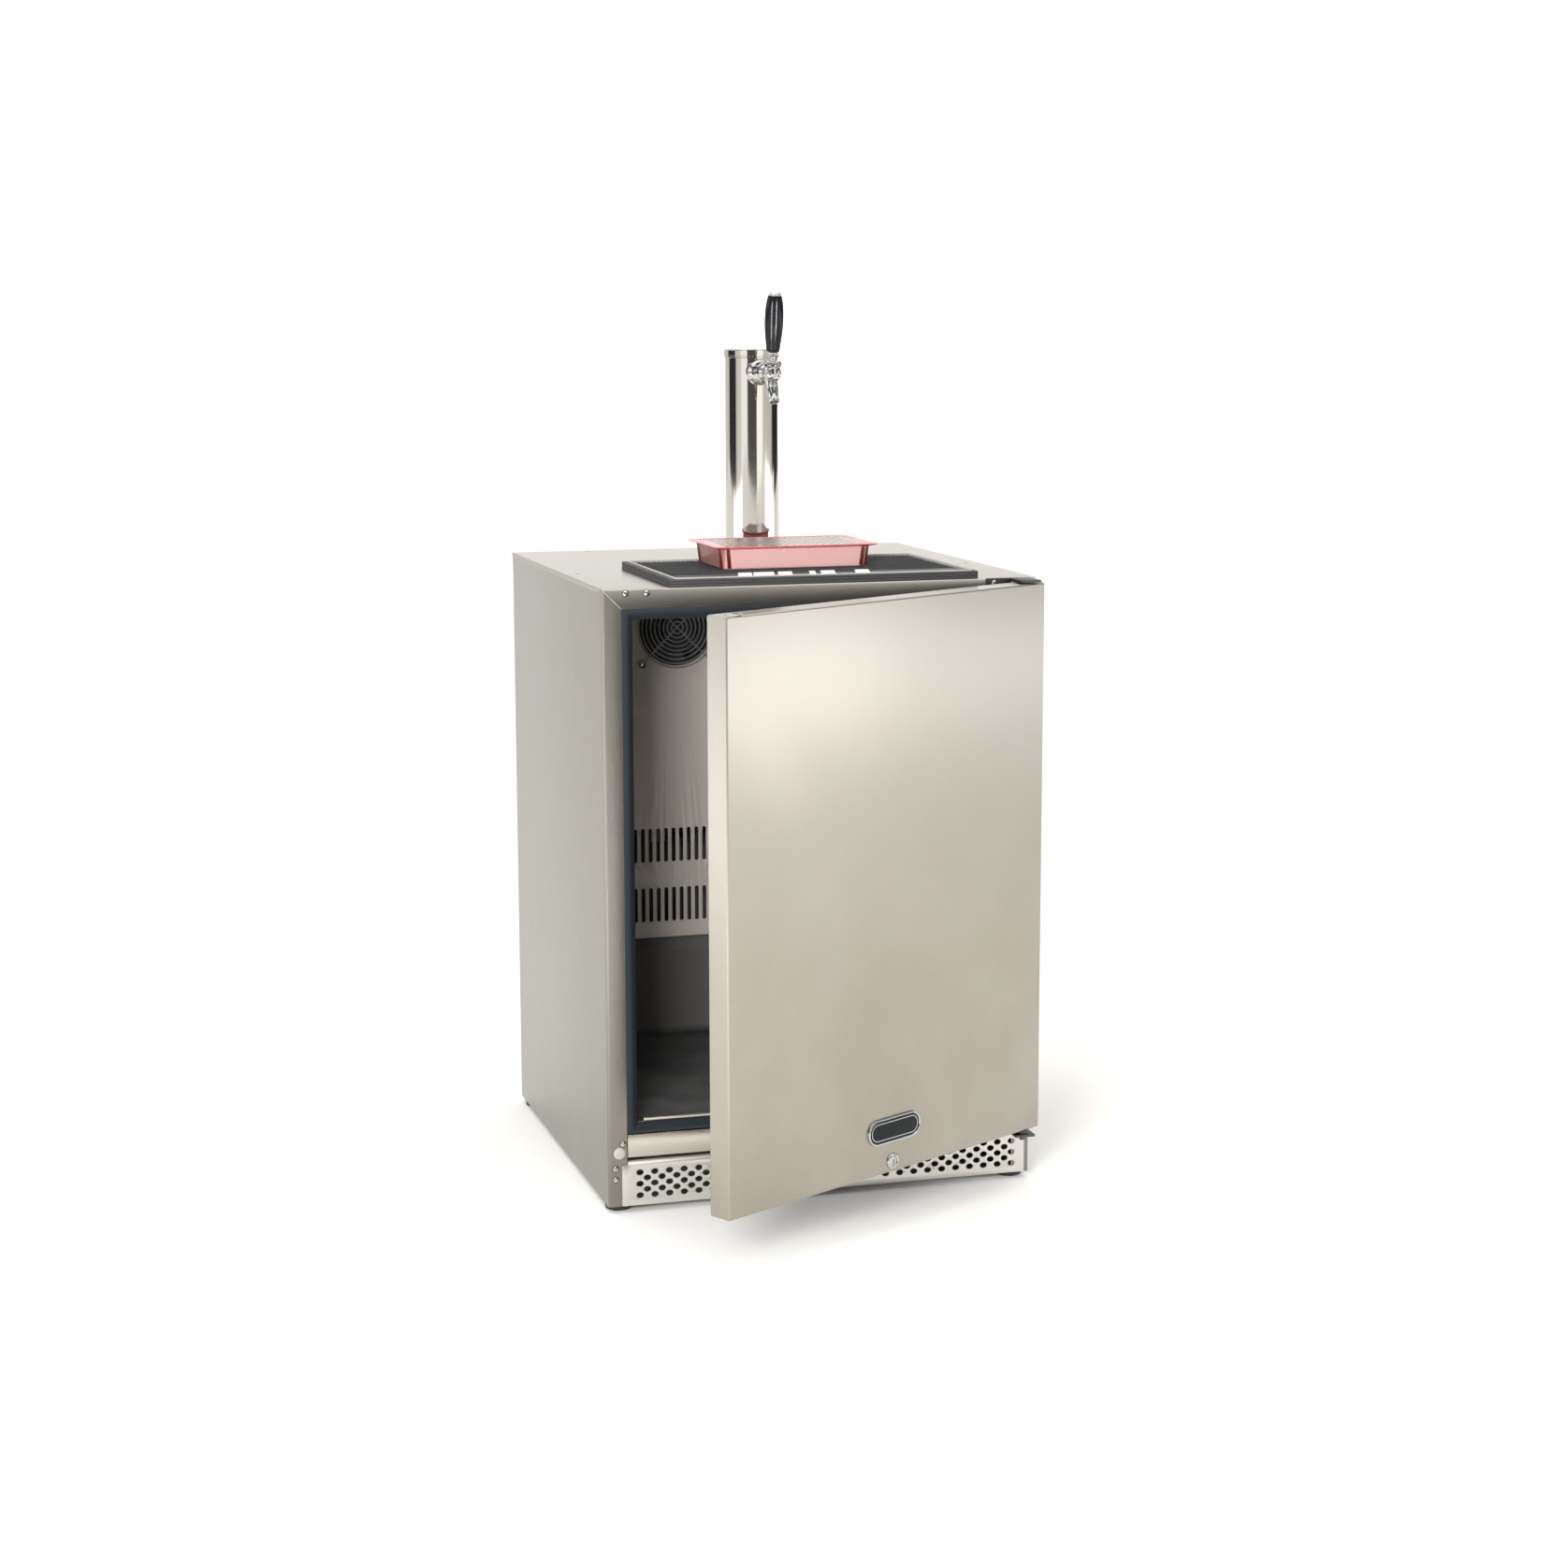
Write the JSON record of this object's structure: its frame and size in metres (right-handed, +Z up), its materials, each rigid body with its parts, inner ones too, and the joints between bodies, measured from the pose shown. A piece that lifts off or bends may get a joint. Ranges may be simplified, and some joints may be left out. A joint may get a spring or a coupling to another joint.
{
  "type": "kegerator",
  "caption": "Upright stainless refrigerated keg cabinet with a side-hinged door, a draft tower with a lever faucet, a drip tray with grid and a bar mat on top.",
  "frame": {"origin": "on the floor, under the middle of the cabinet's front face", "axes": "+Z up, +X to the right as seen from the front, +Y towards the back; the front face is the plane y = 0"},
  "size_m": [0.5989, 0.9302, 1.2142],
  "materials": {
    "stainless": "satin",
    "polished_chrome": "polished",
    "zinc_plated": "satin",
    "black_trim": "satin",
    "dark_liner": "satin",
    "white_plastic": "satin",
    "foam": "matte",
    "rubber_black": "matte",
    "foot_rubber": "satin",
    "coil_aluminium": "satin",
    "compressor_black": "satin",
    "copper": "satin",
    "handle_black": "gloss",
    "tray_red": "gloss"
  },
  "bodies": {
    "cabinet": {"side_panel_left": "stainless", "side_panel_right": "stainless", "top_panel": "stainless", "bottom_rail": "stainless", "kick_grille": "stainless", "sill_strip": "stainless", "evaporator_cover": "stainless", "tower_flange": "polished_chrome", "tower_tube": "polished_chrome", "shank_flange": "polished_chrome", "coupling_nut": "polished_chrome", "faucet_body": "polished_chrome", "lever_bonnet": "polished_chrome", "faucet_shank": "polished_chrome", "fan_guard": "polished_chrome", "cabinet_screws": "polished_chrome", "back_panel": "zinc_plated", "machine_cover": "zinc_plated", "base_pan": "zinc_plated", "hinge_top": "zinc_plated", "hinge_bottom": "zinc_plated", "lock_catch": "zinc_plated", "front_frame": "black_trim", "evap_fan_frame": "black_trim", "condenser_fan_frame": "black_trim", "thermostat_box": "black_trim", "power_gland": "black_trim", "inner_liner": "dark_liner", "hole_plug": "white_plastic", "tower_sleeve": "white_plastic", "cabinet_foam": "foam", "tower_gasket": "rubber_black", "compressor_grommets": "rubber_black", "evaporator_coil": "coil_aluminium", "condenser_coil": "coil_aluminium", "compressor": "compressor_black", "refrigerant_lines": "copper"},
    "door": {"door_skin": "stainless", "door_foam": "foam", "door_liner": "dark_liner", "door_gasket": "rubber_black", "door_bushings": "white_plastic", "door_plug": "polished_chrome", "door_badge": "polished_chrome", "lock_body": "polished_chrome"},
    "lock": {"lock_cylinder": "polished_chrome"},
    "tap_lever": {"lever": "polished_chrome", "tap_handle": "handle_black"},
    "valve": {"valve_shaft": "polished_chrome"},
    "evaporator_rotor": {"evap_fan_rotor": "black_trim"},
    "condenser_rotor": {"condenser_fan_rotor": "black_trim"},
    "thermostat": {"thermostat_knob": "black_trim"},
    "cap": {"tower_cap": "polished_chrome"},
    "mat": {"bar_mat": "rubber_black"},
    "tray": {"drip_tray": "tray_red"},
    "grid": {"drip_grid": "stainless"},
    "front_left_foot": {"foot_front_left": "foot_rubber"},
    "front_right_foot": {"foot_front_right": "foot_rubber"},
    "rear_left_foot": {"foot_rear_left": "foot_rubber"},
    "rear_right_foot": {"foot_rear_right": "foot_rubber"}
  },
  "joints": [
    {"name": "door_swing", "type": "hinge", "parent": "cabinet", "child": "door", "pos_m": [0.276, -0.034, 0.456], "axis": [0, 0, 1], "range_deg": [-29.3, 80.7]},
    {"name": "lock_turn", "type": "hinge", "parent": "door", "child": "lock", "pos_m": [0.03335, -0.16558, 0.0959], "axis": [-0.4894, 0.8721, 0], "range_deg": [0, 90]},
    {"name": "lever_pull", "type": "hinge", "parent": "cabinet", "child": "tap_lever", "pos_m": [0, 0.238, 1.119], "axis": [1, 0, 0], "range_deg": [0, 28]},
    {"name": "valve_slide", "type": "slide", "parent": "cabinet", "child": "valve", "axis": [0, 1, 0], "range_m": [0, 0.0069]},
    {"name": "evaporator_fan_spin", "type": "hinge", "parent": "cabinet", "child": "evaporator_rotor", "pos_m": [-0.0856, 0.46, 0.733], "axis": [0, 1, 0], "continuous": true},
    {"name": "condenser_fan_spin", "type": "hinge", "parent": "cabinet", "child": "condenser_rotor", "pos_m": [-0.158, 0.542, 0.104], "axis": [1, 0, 0], "continuous": true},
    {"name": "thermostat_turn", "type": "hinge", "parent": "cabinet", "child": "thermostat", "pos_m": [0.19, 0.052, 0.781], "axis": [0, 1, 0], "range_deg": [0, 270]},
    {"name": "cap_pull", "type": "slide", "parent": "cabinet", "child": "cap", "axis": [0, 0, 1], "range_m": [0, 0.03]},
    {"name": "mat_lift", "type": "slide", "parent": "cabinet", "child": "mat", "axis": [0, 0, 1], "range_m": [0, 0.04]},
    {"name": "tray_lift", "type": "slide", "parent": "mat", "child": "tray", "axis": [0, 0, 1], "range_m": [0, 0.06]},
    {"name": "grid_lift", "type": "slide", "parent": "tray", "child": "grid", "axis": [0, 0, 1], "range_m": [0, 0.04]},
    {"name": "front_left_foot_turn", "type": "hinge", "parent": "cabinet", "child": "front_left_foot", "pos_m": [-0.279, 0.028, 0.004], "axis": [0, 0, 1], "continuous": true},
    {"name": "front_right_foot_turn", "type": "hinge", "parent": "cabinet", "child": "front_right_foot", "pos_m": [0.279, 0.028, 0.004], "axis": [0, 0, 1], "continuous": true},
    {"name": "rear_left_foot_turn", "type": "hinge", "parent": "cabinet", "child": "rear_left_foot", "pos_m": [-0.279, 0.566, 0.004], "axis": [0, 0, 1], "continuous": true},
    {"name": "rear_right_foot_turn", "type": "hinge", "parent": "cabinet", "child": "rear_right_foot", "pos_m": [0.279, 0.566, 0.004], "axis": [0, 0, 1], "continuous": true}
  ],
  "couplings": [
    {"joint": "valve_slide", "follows": "lever_pull", "m_per_rad": 0.013403}
  ]
}
